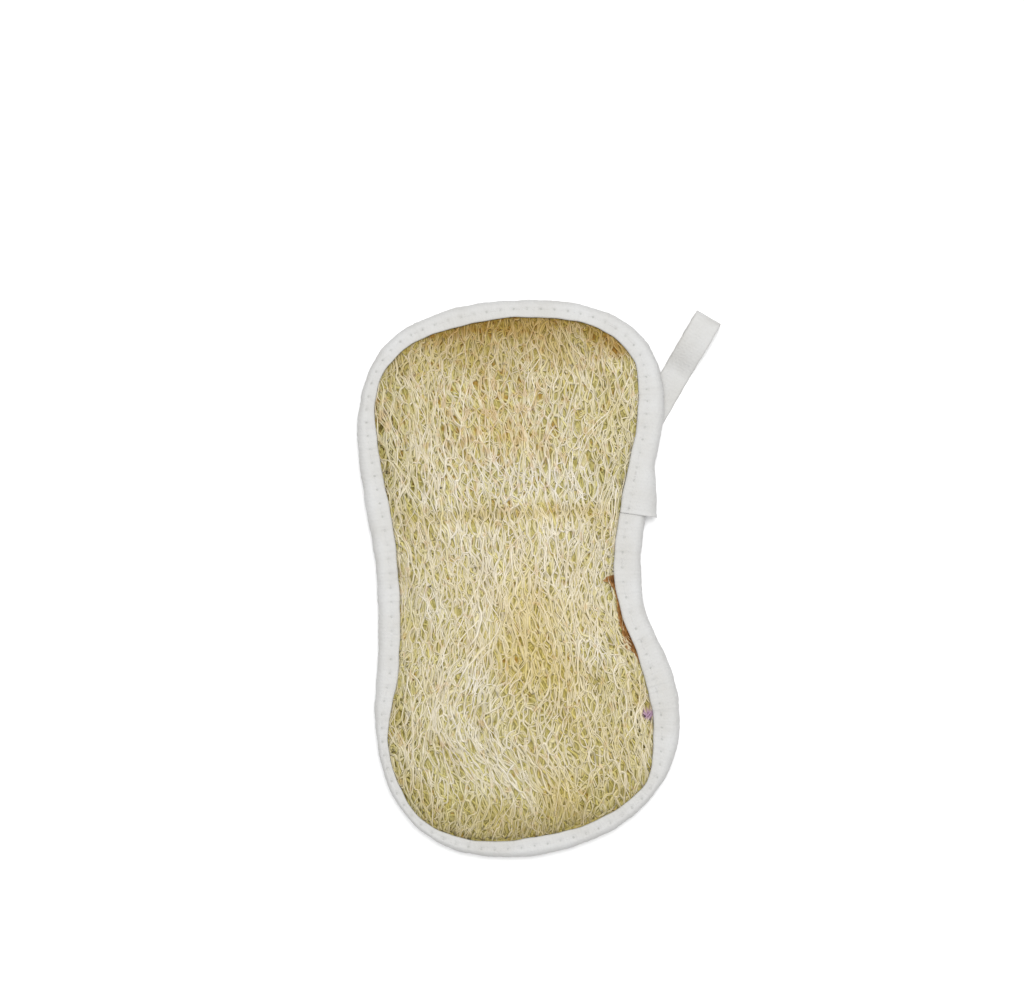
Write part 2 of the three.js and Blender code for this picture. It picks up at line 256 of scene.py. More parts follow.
def waves(x, y, seed, length):
    """Smooth wandering values from about -1 to 1."""
    rng = np.random.default_rng(seed)
    total = 0
    for _ in range(WAVE_COUNT):
        turn = rng.uniform(0, 2 * math.pi)
        k = 2 * math.pi / (length * rng.uniform(0.7, 1.5))
        total = total + np.sin(k * (x * math.cos(turn) + y * math.sin(turn)) + rng.uniform(0, 6.3))
    return total / WAVE_COUNT**0.5 * 0.8


def openness(x, y):
    """0 where the fibres are pressed close, 1 where the net is open and looks dark."""
    value = 0.20 + 0.14 * waves(x, y, 3, 26)
    return np.clip(with_patches(value, x, y, OPEN), 0, 1)


def purple(x, y):
    """The small mauve mark beside the tape."""
    return smoothstep(bump(x, y, MAUVE["at"], MAUVE["reach"]), 0.32, 0.5)


def crease_line(x, y):
    """How yellow the crease makes the fibres in it."""
    band = np.exp(-(((y - CREASE["y"]) / (CREASE["half"] * 0.8)) ** 2))
    start = smoothstep(x, CREASE["from"] - 6, CREASE["from"] + 8)
    end = smoothstep(x, CREASE["to"] - 6, CREASE["to"] + 4)
    return band * start * (1 - end)


def browned_and_shaded(x, y):
    """Yellowing and browning, most along the top border, where the band by the tape is painted shade."""
    value = 0.68 * smoothstep(y - 0.0022 * (x + 4) ** 2, 60, 92)
    value = with_patches(value, x, y, BROWN_AND_SHADE)
    value = value + 0.30 * smoothstep(-y, 70, 92) + 0.14 * waves(x, y, 11, 17)
    return np.clip(value, 0, 1)


def yellowed(x, y):
    """Where the middle of the mat is warmer and less pale."""
    value = with_patches(0.6 * crease_line(x, y), x, y, YELLOW)
    return np.clip(0.18 + value + 0.16 * waves(x, y, 23, 21), 0, 1)


def paled_and_shaded(x, y):
    """How much lighter or darker than usual the fibres are, with painted shade where open and at both ends.
    """
    value = 0.40 * bump(x, y, (2, 6), (30, 50)) - 0.30 * (openness(x, y) - 0.2)
    return value - 0.36 * smoothstep(-y, 62, 90) - 0.22 * smoothstep(y, 66, 90)


def rusted(x, y):
    """Where brown pits are common."""
    return np.clip(with_patches(0, x, y, RUST), 0, 1)


def marks(x, y, front=True):
    """The stains and painted shade at x, y that the luffa's materials read from the meshes."""
    found = {"browned_and_shaded": browned_and_shaded(x, y), "yellowed": yellowed(x, y), "rusted": rusted(x, y)}
    found["purple"] = purple(x, y) * front
    return found


# meshes


def in_scene(name, data):
    made = bpy.data.objects.new(name, data)
    bpy.context.scene.collection.objects.link(made)
    return made


def make_mesh(name, verts, faces, values=None):
    """A mesh object from millimetre points, with float attributes on its points or its corners."""
    mesh = bpy.data.meshes.new(name)
    mesh.from_pydata((np.asarray(verts) * MM).tolist(), [], faces)
    for key, value in (values or {}).items():
        flat = np.asarray(value, np.float32).ravel()
        layer = mesh.attributes.new(key, "FLOAT", "POINT" if len(flat) == len(verts) else "CORNER")
        layer.data.foreach_set("value", flat)
    mesh.polygons.foreach_set("use_smooth", [True] * len(mesh.polygons))
    mesh.update()
    return in_scene(name, mesh)


# No thin tube reaches lower than this, so that none passes through what the pad lies on.
LEAST_Z = 0.03


def tubes(name, bunches, sides=3, flat=1.0, up=1):
    """One mesh of many thin closed tubes.

    Each bunch holds points (tubes, steps, 3), radii (tubes, steps) and the values on them. Three-sided
    tubes lie with a flat side outwards, so that they catch light over their whole width.
    """
    all_verts, all_faces, all_values, first = [], [], {}, 0
    for points, radii, values in bunches:
        count, steps, _ = points.shape
        points[:, :, 2] = np.maximum(points[:, :, 2], LEAST_Z + flat * radii)
        along = unit(np.gradient(points, axis=1))
        side = unit(np.cross(along, np.array([0.0, 0.0, 1.0])))
        lift = np.cross(side, along)
        angle = 2 * math.pi * np.arange(sides) / sides - up * math.pi / 2
        ring = np.cos(angle)[None, None, :, None] * side[:, :, None]
        ring = ring + flat * np.sin(angle)[None, None, :, None] * lift[:, :, None]
        verts = points[:, :, None] + radii[:, :, None, None] * ring
        index = first + np.arange(count * steps * sides).reshape(count, steps, sides)
        turned = np.roll(index, -1, axis=2)
        quads = np.stack([index[:, :-1], index[:, 1:], turned[:, 1:], turned[:, :-1]], -1)
        all_faces += quads.reshape(-1, 4).tolist() + index[:, 0].tolist() + index[:, -1, ::-1].tolist()
        all_verts.append(verts.reshape(-1, 3))
        for key, value in values.items():
            all_values.setdefault(key, []).append(np.repeat(np.broadcast_to(value, (count, steps)), sides))
        first += count * steps * sides
    values = {key: np.concatenate(value) for key, value in all_values.items()}
    return make_mesh(name, np.vstack(all_verts), all_faces, values)


def swept(rings, closed):
    """Points and faces of a tube through rings (steps, around, 3), capped when it isn't closed."""
    steps, around, _ = rings.shape
    index = np.arange(steps * around).reshape(steps, around)
    turned = np.roll(index, -1, axis=1)
    a, b = (index, turned) if closed else (index[:-1], turned[:-1])
    c, d = (np.roll(turned, -1, axis=0), np.roll(index, -1, axis=0)) if closed else (turned[1:], index[1:])
    faces = np.stack([a, b, c, d], -1).reshape(-1, 4)[:, ::-1].tolist()
    if not closed:
        faces += [index[0].tolist(), index[-1, ::-1].tolist()]
    return rings.reshape(-1, 3), faces


# the fibre nets

# The pits of the mat, on a staggered lattice: how far apart they lie, how long each is for its width, the
# least and the most half-width, how far each strays, and after how many the draws repeat.
PIT = {"wide": 3.1, "long": 4.5, "slim": 1.65, "least": 0.62, "most": 1.25, "stray": 0.9, "count": 72}
PIT_DRAWS = np.random.default_rng(211).random((PIT["count"], PIT["count"], 3))

# How far and over what lengths a net wanders, and where its lines lean.
WANDER = {"far": 3.0, "length": 38, "fine": 10}
LEAN = {"by": 0.5, "at": (-14, -66), "reach": (26, 20)}

# A net's grid: its reach along and across, its rows' gap, how far knots stray, and the share left out.
NET = {"long": 230, "wide": 150, "row": 0.866, "stray": (0.42, 0.38), "missing": 0.12}

# The most sides of a net that one fibre follows, the steps on each, and the points of a single strand.
RUN_SIDES = 7
STEPS_PER_SIDE = 2.5
STRAND_STEPS = 13

# How far fibres run on under the tape, a fibre's height for its width, how unevenly fibres lie, and the
# depth of the lowest nets.
TUCKED = {"net": 2.4, "strand": 2.0}
FLATTENED = 0.55
UNEVEN = 0.12
DEEPEST = 0.95


def parted(x, y, share=1.0):
    """Where fibres at x, y come to lie when they part round the pits, and how far they dip there."""
    column = np.round(x / PIT["wide"])
    row = np.round(y / PIT["long"])
    move_x, move_y, dip = 0, 0, 0
    for across in (-1, 0, 1):
        for along in (-1, 0, 1):
            i, j = column + across, row + along
            draw = PIT_DRAWS[(i % PIT["count"]).astype(int), (j % PIT["count"]).astype(int)]
            at_x = (i + 0.5 * (j % 2) + PIT["stray"] * (draw[..., 0] - 0.5)) * PIT["wide"]
            at_y = (j + PIT["stray"] * (draw[..., 1] - 0.5)) * PIT["long"]
            open_here = 0.75 + 0.50 * openness(at_x, at_y)
            size = (PIT["least"] + (PIT["most"] - PIT["least"]) * draw[..., 2] ** 1.4) * open_here
            rx, ry = (x - at_x) / size, (y - at_y) / (size * PIT["slim"])
            r = np.maximum(np.hypot(rx, ry), 1e-3)
            push = (np.sqrt(r**2 + 1) - r) * np.exp(-((r / 1.7) ** 2)) / r
            move_x = move_x + push * rx * size
            move_y = move_y + push * ry * size * PIT["slim"]
            dip = dip + 0.5 * size * np.exp(-((r / 1.2) ** 2))
    return x + share * move_x, y + share * move_y, share * dip


def laid(u, v, seed):
    """Where a place u, v of a net comes to lie: drawn in at the waist and wandering."""
    far, length, fine = WANDER["far"], WANDER["length"], WANDER["fine"]
    x = u * drawn_in(v) + far * waves(u, v, seed, length) + 0.55 * waves(u, v, seed + 7, fine)
    y = v + 0.5 * far * waves(u, v, seed + 50, length) + 0.45 * waves(u, v, seed + 57, fine)
    lean = LEAN["by"] * (v - LEAN["at"][1]) * bump(u, v, LEAN["at"], LEAN["reach"])
    return x - lean, y


def shared_sides(cells):
    """The pairs of cells that share a side, for cells given by their three corners."""
    sides = np.sort(np.stack([cells, np.roll(cells, -1, axis=1)], -1).reshape(-1, 2), axis=1)
    owner = np.repeat(np.arange(len(cells)), 3)
    order = np.lexsort((sides[:, 1], sides[:, 0]))
    sides, owner = sides[order], owner[order]
    same = np.nonzero((sides[1:] == sides[:-1]).all(1))[0]
    return np.stack([owner[same], owner[same + 1]], 1)


def web(seed, wide, long, turn):
    """An irregular net of drawn-out cells, turned a little.

    It gives the knots' places, the two knots of each side, lowest first, and the random draws to go on with.
    """
    rng = np.random.default_rng(seed)
    rows = int(NET["long"] / (long * NET["row"]))
    columns = int(NET["wide"] / wide)
    j, i = np.meshgrid(np.arange(rows) - rows // 2, np.arange(columns) - columns // 2)
    stray_u, stray_v = NET["stray"]
    u = (i + 0.5 * (j % 2)).ravel() + rng.uniform(-stray_u, stray_u, i.size)
    v = (NET["row"] * j).ravel() + rng.uniform(-stray_v, stray_v, i.size)
    kept = rng.random(len(u)) > NET["missing"]
    found = delaunay_2d_cdt([Vector(p) for p in np.stack([u, v], 1)[kept]], [], [], 0, 1e-7)
    corners = np.array([list(c) for c in found[0]])
    cells = np.array([f for f in found[2] if len(f) == 3])
    knots = corners[cells].mean(1) * (wide, long)
    along = knots[:, 1]
    knots = knots @ np.array([[math.cos(turn), math.sin(turn)], [-math.sin(turn), math.cos(turn)]])
    pairs = shared_sides(cells)
    pairs = np.take_along_axis(pairs, np.argsort(along[pairs], axis=1), axis=1)
    return knots[:, 0], knots[:, 1], pairs, rng


def runs(pairs, fibres, longest, rng):
    """Chains of knots up through a net, one for each long fibre, with about fibres of them on each side."""
    ups, downs = {}, {}
    for side, (low, high) in enumerate(pairs.tolist()):
        ups.setdefault(low, []).append((side, high))
        downs.setdefault(high, []).append((side, low))
    shared = [0] * len(pairs)
    made = []

    def step(ways):
        side, knot = min(ways, key=lambda way: shared[way[0]] + rng.random())
        if shared[side] > fibres:
            return None
        shared[side] += 1
        return knot

    for side in rng.permutation(len(pairs)).tolist():
        while shared[side] < fibres:
            shared[side] += 1
            run = pairs[side].tolist()
            above = rng.integers(2, longest + 1)
            while len(run) <= above and run[-1] in ups and (knot := step(ups[run[-1]])) is not None:
                run.append(knot)
            while len(run) <= longest and run[0] in downs and (knot := step(downs[run[0]])) is not None:
                run.insert(0, knot)
            made.append(run)
    return made


def drawn_through(points, steps):
    """Smooth curves through rows of points (curves, points, values), each with the same number of steps."""
    first, last = 2 * points[:, :1] - points[:, 1:2], 2 * points[:, -1:] - points[:, -2:-1]
    wide = np.concatenate([first, points, last], 1)
    at = np.linspace(0, points.shape[1] - 1, steps)
    k = np.minimum(at.astype(int), points.shape[1] - 2)
    t = (at - k)[None, :, None]
    a, b, c, d = (wide[:, k + n] for n in range(4))
    return b + 0.5 * t * (c - a + t * (2 * a - 5 * b + 4 * c - d + t * (3 * (b - c) + d - a)))


def net(name, front, seed, cell, turn, drop, thick, fibres, thin_out):
    """A layer of the fibre net on the face or the back, drop millimetres under the crests.

    Its fibres are long and follow the net's sides, so that they join, run side by side and part again.
    """
    u, v, pairs, rng = web(seed, *cell, math.radians(turn))
    x, y = laid(u, v, seed)
    border = on_grid(TAPE_AT, x, y) if front else TAPE_BACK
    inside = on_grid(DEPTH, x, y) - border > -TUCKED["net"]
    pairs = pairs[inside[pairs].all(1)]
    mid_x, mid_y = x[pairs].mean(1), y[pairs].mean(1)
    gone = rng.random(len(pairs)) < thin_out * (0.35 + 1.3 * openness(mid_x, mid_y))
    chains = runs(pairs[~gone], fibres, RUN_SIDES, rng)
    spread = 0.8 + 0.25 * fibres
    bunches = []
    for size in range(2, RUN_SIDES + 2):
        knots = np.array([run for run in chains if len(run) == size], int).reshape(-1, size)
        if len(knots):
            path = np.stack([x[knots], y[knots]], 2)
            bunches.append(fibre_bunch(path, front, drop, thick, spread, rng))
    return tubes(name, bunches, flat=FLATTENED, up=1 if front else -1)


def fibre_bunch(knots, front, drop, thick, spread, rng):
    """Fibres through rows of knots, each a little beside the knots and above or below them."""
    height, up = (front_height, 1) if front else (back_height, -1)
    aside = rng.uniform(-1, 1, (len(knots), 1)) + rng.normal(0, 0.45, knots.shape[:2])
    lift = rng.normal(0, UNEVEN, (len(knots), 1)) + rng.normal(0, 0.6 * UNEVEN, knots.shape[:2])
    steps = round(STEPS_PER_SIDE * (knots.shape[1] - 1)) + 1
    path = drawn_through(np.concatenate([knots, aside[:, :, None], lift[:, :, None]], 2), steps)
    way = unit(np.gradient(path[:, :, :2], axis=1))
    beside = np.stack([way[:, :, 1], -way[:, :, 0]], 2)
    place = path[:, :, :2] + spread * thick * path[:, :, 2:3] * beside
    low = min(1.0, (drop / DEEPEST) ** 2)
    x, y, dip = parted(place[:, :, 0], place[:, :, 1], 1 - 0.65 * low)
    t = np.linspace(-1, 1, steps)[None]
    sunk = 0.35 * np.abs(t) ** 8
    loft = drop * (0.45 + 1.1 * openness(x, y))
    z = height(x, y) + up * (path[:, :, 3] - loft - dip - sunk)
    girth = thick * np.exp(rng.normal(-0.05, 0.28, (len(path), 1)) + rng.normal(0, 0.07, x.shape))
    radii = girth * (1 - 0.55 * np.abs(t) ** 10)
    values = marks(x, y, front)
    # The tone takes in painted shade where the net is open and towards the pad's ends.
    values["tone"] = np.clip(rng.normal(0.50, 0.17, (len(path), 1)) + paled_and_shaded(x, y), 0, 1)
    values["low"] = low
    return np.stack([x, y, z], 2), radii, values


def strands(name, seed, count, thick, raised, longest):
    """Long single fibres that wander along the face, over its crests."""
    rng = np.random.default_rng(seed)
    step = np.arange(STRAND_STEPS)
    mid = STRAND_STEPS // 2
    t = np.linspace(0, 1, STRAND_STEPS)
    made = []
    while len(made) < count:
        u, v = rng.uniform(-52, 52), rng.uniform(-94, 94)
        length = rng.uniform(6, longest)
        lean = rng.normal(0, 0.32)
        turns, start = rng.uniform(2, 6), rng.uniform(0, 6.3)
        sway = rng.normal(0, 0.06) * length * np.sin(t * turns + start)
        x, y = laid(u + lean * length * (t - 0.5) + sway, v + length * (t - 0.5), 101)
        inside = past_tape(x, y) > -TUCKED["strand"]
        combed = 0.25 + 0.75 * openness(x[mid : mid + 1], y[mid : mid + 1])[0]
        if inside[mid] and inside.sum() > 5 and rng.random() < combed:
            keep = np.nonzero(inside)[0]
            at = np.linspace(t[keep[0]], t[keep[-1]], STRAND_STEPS)
            made.append(np.stack([np.interp(at, t, x), np.interp(at, t, y)], 1))
    path = np.array(made)
    x, y, dip = parted(path[:, :, 0], path[:, :, 1])
    path = np.stack([x, y], 2)
    wave = rng.normal(0, 1, (count, 1)) * np.sin(step * rng.uniform(0.6, 1.6, (count, 1)))
    z = front_height(x, y) + (raised - rng.uniform(0, 0.5, (count, 1)) + 0.12 * wave - 0.5 * dip)
    points = np.concatenate([path, z[:, :, None]], 2)
    taper = np.minimum(1, 0.35 + np.minimum(step, step[::-1]) * 0.4)
    radii = thick * rng.uniform(0.6, 1.3, (count, 1)) * taper[None]
    values = marks(x, y)
    # The strand's tone takes in the same painted shade.
    pale = paled_and_shaded(x[:, mid : mid + 1], y[:, mid : mid + 1])
    values["tone"] = np.clip(rng.normal(0.62, 0.15, (count, 1)) + pale, 0, 1)
    values["low"] = np.zeros((count, 1))
    return tubes(name, [(points, radii, values)])


# Dried skin on the right of the waist: height along the pad, and how far it reaches in from the tape.
SKIN = np.array(
    [
        (-33.1, 0.1), (-31.5, 0.4), (-29.4, 0.6), (-28.2, 1.1), (-27.3, 2.3), (-26.0, 3.0),
        (-24.1, 2.7), (-21.5, 2.1), (-19.3, 1.8), (-16.5, 1.6), (-14.3, 1.3), (-12.0, 1.0),
        (-10.0, 0.6), (-8.4, 0.5), (-5.9, 0.7), (-4.8, 1.1), (-3.8, 2.0), (-3.0, 3.1),
        (-2.3, 3.9), (-1.5, 3.7), (-0.9, 2.9), (-0.6, 1.2), (-0.5, 0.1),
    ]
)
SKIN_FORM = {"rows": 150, "across": 9, "tucked": 1.0, "lift": 0.16, "curl": 0.16, "thick": 0.3}


def skin_piece():
    """A thin torn strip of the gourd's skin, stuck on the net beside the tape."""
    rng = np.random.default_rng(113)
    rows, across, tucked = SKIN_FORM["rows"], SKIN_FORM["across"], SKIN_FORM["tucked"]
    y = np.linspace(SKIN[0, 0], SKIN[-1, 0], rows)
    reach = np.interp(y, SKIN[:, 0], SKIN[:, 1])
    reach = reach * (1 + 0.10 * np.sin(y * 2.3) + 0.05 * np.sin(y * 5.1 + 1)) + rng.normal(0, 0.03, rows)
    x_run = np.linspace(20, 54, 341)
    wide = np.maximum(reach, 0.05) + tucked
    past = np.array([-tucked + wide * s for s in np.linspace(0, 1, across)]).T
    x = np.empty_like(past)
    for k in range(rows):
        found = past_tape(x_run, np.full_like(x_run, y[k]))
        x[k] = np.interp(past[k], found[::-1], x_run[::-1])
    yy = np.broadcast_to(y[:, None], x.shape)
    z = front_height(x, yy) + SKIN_FORM["lift"] + SKIN_FORM["curl"] * waves(x, yy, 127, 3.0)
    top = np.stack([x, yy, z + rng.normal(0, 0.04, x.shape)], 2)
    low = top - (0, 0, SKIN_FORM["thick"])
    rings = np.concatenate([top, low[:, ::-1]], 1)
    verts, faces = swept(rings, False)
    thinner = np.linspace(0, 1, across)
    values = {"thinner": np.broadcast_to(np.concatenate([thinner, thinner[::-1]]), (rows, 2 * across))}
    return make_mesh("dried_skin", verts, faces, values)


# The inner fibres: steps round, out and down the side, how far in from the edge they end and bulge, and
# how far they lie under the crests.
CORE = {"around": 320, "out": 48, "sides": 5, "rim": 3.4, "bulge": 1.6}
UNDER_CRESTS = {"front": 0.15, "back": 0.5}


def core():
    """The close inner fibres: one closed skin under the nets, front, side and back."""
    around, out = CORE["around"], CORE["out"]
    ring, _ = even_steps(edge, around)
    inward = inward_of(ring)
    rim = ring[:, :2] + inward * CORE["rim"]
    share = np.linspace(0, 1, out + 1)[1:]
    flat = rim[None] * share[:, None, None]
    x, y = flat[:, :, 0], flat[:, :, 1]
    rng = np.random.default_rng(5)
    rough = rng.normal(0, 0.12, x.shape)
    drop = 0.85 + 2.2 * openness(x, y) ** 1.3
    near_tape = smoothstep(past_tape(x, y), -1.5, 2.5)
    rise = 0.5 + 0.7 * openness(x, y)
    top = front_height(x, y) - UNDER_CRESTS["front"] - (drop + rough) * near_tape
    bottom = back_height(x, y) + UNDER_CRESTS["back"] + rise * near_tape + rough * near_tape
    middle = (top[-1] + bottom[-1]) / 2
    half = (top[-1] - bottom[-1]) / 2
    sides = []
    for turn in np.linspace(1, -1, CORE["sides"] + 2)[1:-1] * math.pi / 2:
        place = rim - inward * CORE["bulge"] * math.cos(turn)
        sides.append(np.stack([*place.T, middle + half * math.sin(turn)], 1))
    rings = np.concatenate([np.stack([x, y, top], 2), sides, np.stack([x, y, bottom], 2)[::-1]])
    count = len(rings)
    poles = np.array([[0, 0, top[0].mean()], [0, 0, bottom[0].mean()]])
    verts = np.vstack([rings.reshape(-1, 3), poles])
    index = np.arange(count * around).reshape(count, around)
    turned = np.roll(index, -1, axis=1)
    faces = np.stack([index[:-1], turned[:-1], turned[1:], index[1:]], -1).reshape(-1, 4).tolist()
    first, last = count * around, count * around + 1
    faces += [[first, b, a] for a, b in zip(index[0], turned[0])]
    faces += [[last, a, b] for a, b in zip(index[-1], turned[-1])]
    values = marks(verts[:, 0], verts[:, 1], verts[:, 2] > RIM_MID)
    # How open the net is, which the inner fibres' material turns into painted shade in the pits.
    values["open"] = openness(verts[:, 0], verts[:, 1])
    return make_mesh("luffa_core", verts, faces, values)


# the tape

# Lengths of a stitch and of the weave's repeat, each so that a whole number goes round the edge.
STITCH = EDGE_LENGTH / round(EDGE_LENGTH / 4.95)
WEAVE = EDGE_LENGTH / round(EDGE_LENGTH / 0.62)

# How far the seam runs in from the tape's border, and a distance from it that shows no needle holes.
SEAM_IN = 3.0
BACK_SEAM = TAPE_BACK - SEAM_IN
FAR_FROM_SEAM = 99.0

# The thread's radius, the gap between two stitches, how far each lies under the tape's face, and how far
# its ends dive in.
THREAD = {"radius": 0.2, "gap": 0.5, "sunk": 0.22, "dive": 0.55}


def round_wave(run, length, start=0.0):
    """A ripple along the edge that meets itself after one whole turn."""
    return np.sin(run * 2 * math.pi * round(EDGE_LENGTH / length) / EDGE_LENGTH + start)


def face_seam(width):
    """How far in from the edge the seam runs on the face, for a width of tape."""
    return np.maximum(width - SEAM_IN, width * 0.52)


def on_lap(places, spare=0.0):
    """Whether places along the edge lie where the tape's last end laps over its beginning."""
    y = places[..., 1]
    return (places[..., 0] > 0) & (y > LAP_Y["cut"]) & (y < LAP_Y["sunk"] - spare)


def tape_rings(at, lift=0.0, flare=0.0, inside=TAPE):
    """The wrapped tape's section at each edge step in at: (steps, around, 3).

    With it come how near each point is to the tape's border, and how far it lies from the seam.
    """
    width = edge[at, 2][:, None]
    run = edge_run[at][:, None]
    rim = np.minimum(RIM_DEPTH, width * 0.45)
    lift = np.broadcast_to(np.asarray(lift, float), (len(at),))[:, None]
    flare = np.broadcast_to(np.asarray(flare, float), (len(at),))[:, None]
    wavy = 0.22 * round_wave(run, 32) + 0.16 * round_wave(run, 14.5, 1) + 0.10 * round_wave(run, 8, 2)
    seam = face_seam(width)
    prick = np.exp(-((((run + STITCH / 2) % STITCH) - STITCH / 2) ** 2) / 0.6)
    depth, rise, border, gap = [], [], [], []

    def put(d, z, near, line=FAR_FROM_SEAM):
        depth.append(d)
        rise.append(np.broadcast_to(z, d.shape))
        border.append(np.broadcast_to(near, d.shape))
        gap.append(d - line)

    def channel(d, line):
        near = np.exp(-(((d - line) / 0.8) ** 2))
        return near * (0.14 + 0.42 * prick)

    swell = 0.6 + 0.4 * round_wave(run, 41, 2) * round_wave(run, 23)
    pucker = 0.11 * round_wave(run, 2.6) + 0.09 * round_wave(run, 3.7, 2) + 0.06 * round_wave(run, 1.9, 4)
    pucker = pucker * swell + 0.12 * round_wave(run, 9.3, 1)
    inner = width + 0.5 * wavy
    for share in (1.0, 0.95, 0.86, 0.76, 0.66, 0.56, 0.46, 0.36, 0.24, 0.12):
        d = rim + (inner - rim) * share
        fall = 0.45 * smoothstep(share, 0.9, 1.0) ** 2
        z = RIM_HALF + lift - fall - channel(d, seam) + pucker * (0.35 + 0.65 * share)
        put(d, z, share, seam)
    for angle in (88, 70, 52, 34, 16, 0, -16, -34, -52, -70, -88):
        a = math.radians(angle)
        proud = lift + 0.5 * wavy * math.cos(a) + pucker * 0.45
        d = rim * (1 - math.cos(a)) - (proud + flare) * math.cos(a)
        put(d, (RIM_HALF + lift + pucker * 0.3) * math.sin(a), 0.0, seam)
    for share in (0.15, 0.32, 0.48, 0.62, 0.76, 0.9, 1.0):
        d = rim + (TAPE_BACK + 0.4 * wavy - rim) * share
        fall = 0.35 * smoothstep(share, 0.9, 1.0) ** 2
        z = -RIM_HALF - lift + fall + channel(d, BACK_SEAM) - pucker * 0.5 * share
        put(d, z, share, BACK_SEAM)
    inner_half = RIM_HALF - inside
    put(depth[-1], -inner_half, 1.0)
    for share in (0.6, 0.2):
        put(rim + (TAPE_BACK - rim) * share, -inner_half, share)
    for angle in (-70, -35, 0, 35, 70):
        a = math.radians(angle)
        put(rim * (1 - math.cos(a)) + inside * math.cos(a), inner_half * math.sin(a), 0.0)
    for share in (0.2, 0.6, 1.0):
        put(rim + (inner - rim) * share, inner_half, share)
    depth, rise, border, gap = (np.concatenate(part, axis=1) for part in (depth, rise, border, gap))
    place = edge[at, None, :2] + edge_in[at, None] * depth[:, :, None]
    return np.concatenate([place, RIM_MID + rise[:, :, None]], 2), border, gap


def across_of(rings):
    """Length round the section at each of its points."""
    hop = np.linalg.norm(np.diff(rings, axis=1), axis=2)
    return np.concatenate([np.zeros((len(rings), 1)), np.cumsum(hop, axis=1)], 1)


def tape_piece(name, at, closed, **look):
    """The wrapped tape along the edge steps in at, with the run along it measured to a whole turn."""
    rings, border, gap = tape_rings(at, **look)
    verts, faces = swept(rings, closed)
    around = border.shape[1]
    run = np.repeat(edge_run[at], around)
    if closed:
        corner = np.array(faces).ravel()
        last = np.arange(len(corner)) >= len(corner) - 4 * around
        run = np.where(last & (corner < around), EDGE_LENGTH, run[corner])
    values = {"along": run, "across": across_of(rings), "border": border, "gap": gap}
    return make_mesh(name, verts, faces, values)


def lap_piece():
    """The tape's last end, which laps over its beginning and stands out at the cut."""
    at = np.nonzero(on_lap(edge))[0]
    share = (LAP_Y["sunk"] - edge[at, 1]) / (LAP_Y["sunk"] - LAP_Y["cut"])
    lift = -0.2 + (LAP_RISE + 0.2) * np.minimum(1, share * 3)
    return tape_piece("tape_lap", at, False, lift=lift, flare=LAP_FLARE * share**1.5, inside=TAPE / 2)


def stitch_line(name, on_back):
    """Short stitches of thread along the tape's seam."""
    total = round(EDGE_LENGTH / STITCH)
    t = np.linspace(0, 1, 7)
    start = (np.arange(total) * STITCH)[:, None]
    run = (start + THREAD["gap"] / 2 + (STITCH - THREAD["gap"]) * t[None]) % EDGE_LENGTH
    step = run / EDGE_LENGTH * EDGE_STEPS
    low = np.floor(step).astype(int) % EDGE_STEPS
    high = (low + 1) % EDGE_STEPS
    mix = (step - np.floor(step))[:, :, None]
    here = edge[low] * (1 - mix) + edge[high] * mix
    inward = edge_in[low] * (1 - mix) + edge_in[high] * mix
    width = here[:, :, 2]
    depth = np.full_like(width, BACK_SEAM) if on_back else face_seam(width)
    place = here[:, :, :2] + inward * depth[:, :, None]
    dive = THREAD["dive"] * (np.abs(t - 0.5) * 2) ** 4
    high_line = RIM_HALF - THREAD["sunk"] - dive[None] + np.where(on_lap(here, spare=4), LAP_RISE, 0)
    z = RIM_MID + (-high_line if on_back else high_line)
    points = np.concatenate([place, z[:, :, None]], 2)
    radii = np.full(z.shape, THREAD["radius"])
    values = {key: np.zeros_like(run) for key in ("across", "border", "gap")}
    values["along"] = run
    return tubes(name, [(points, radii, values)], sides=6)


# Points along the loop's lower ply, round its end, along each half of its upper ply and across it, and how
# many at its root lie flat. Then how far its ends start from the root's line, and its least height.
LOOP_STEPS = {"lower": 60, "end": 20, "upper": 34, "across": 13, "flat_root": 40}
LOOP_ENDS = 0.2
LOOP_LEAST_Z = 0.02


def loop_path():
    """The middle of the loop's tape from the side: out along the lower ply, round the end and back."""
    ply = LOOP["ply"]
    end = LOOP["sewn"] + LOOP["long"]
    top = LOOP["eye_high"] + 2 * ply
    eye_from = end - ply - LOOP["eye_long"]
    half = ply / 2
    bend_at = end - top / 2
    count = LOOP_STEPS["lower"]
    under = np.stack([np.linspace(LOOP_ENDS, bend_at, count), np.full(count, half)], 1)
    a = np.linspace(-math.pi / 2, math.pi / 2, LOOP_STEPS["end"] + 2)[1:-1]
    r = top / 2 - half
    bend = np.stack([bend_at + r * np.cos(a), top / 2 + r * np.sin(a)], 1)
    count = LOOP_STEPS["upper"]
    t = np.linspace(0, 1, count)[:, None]
    high, low = top - half, 1.5 * ply
    b = np.array([(bend_at, high), (eye_from + 6, high), (eye_from + 4, low), (eye_from - 1.5, low)])
    over = (1 - t) ** 3 * b[0] + 3 * (1 - t) ** 2 * t * b[1] + 3 * (1 - t) * t**2 * b[2] + t**3 * b[3]
    rest = np.stack([np.linspace(eye_from - 2.2, LOOP_ENDS, count), np.full(count, low)], 1)
    return np.vstack([under, bend, over, rest])


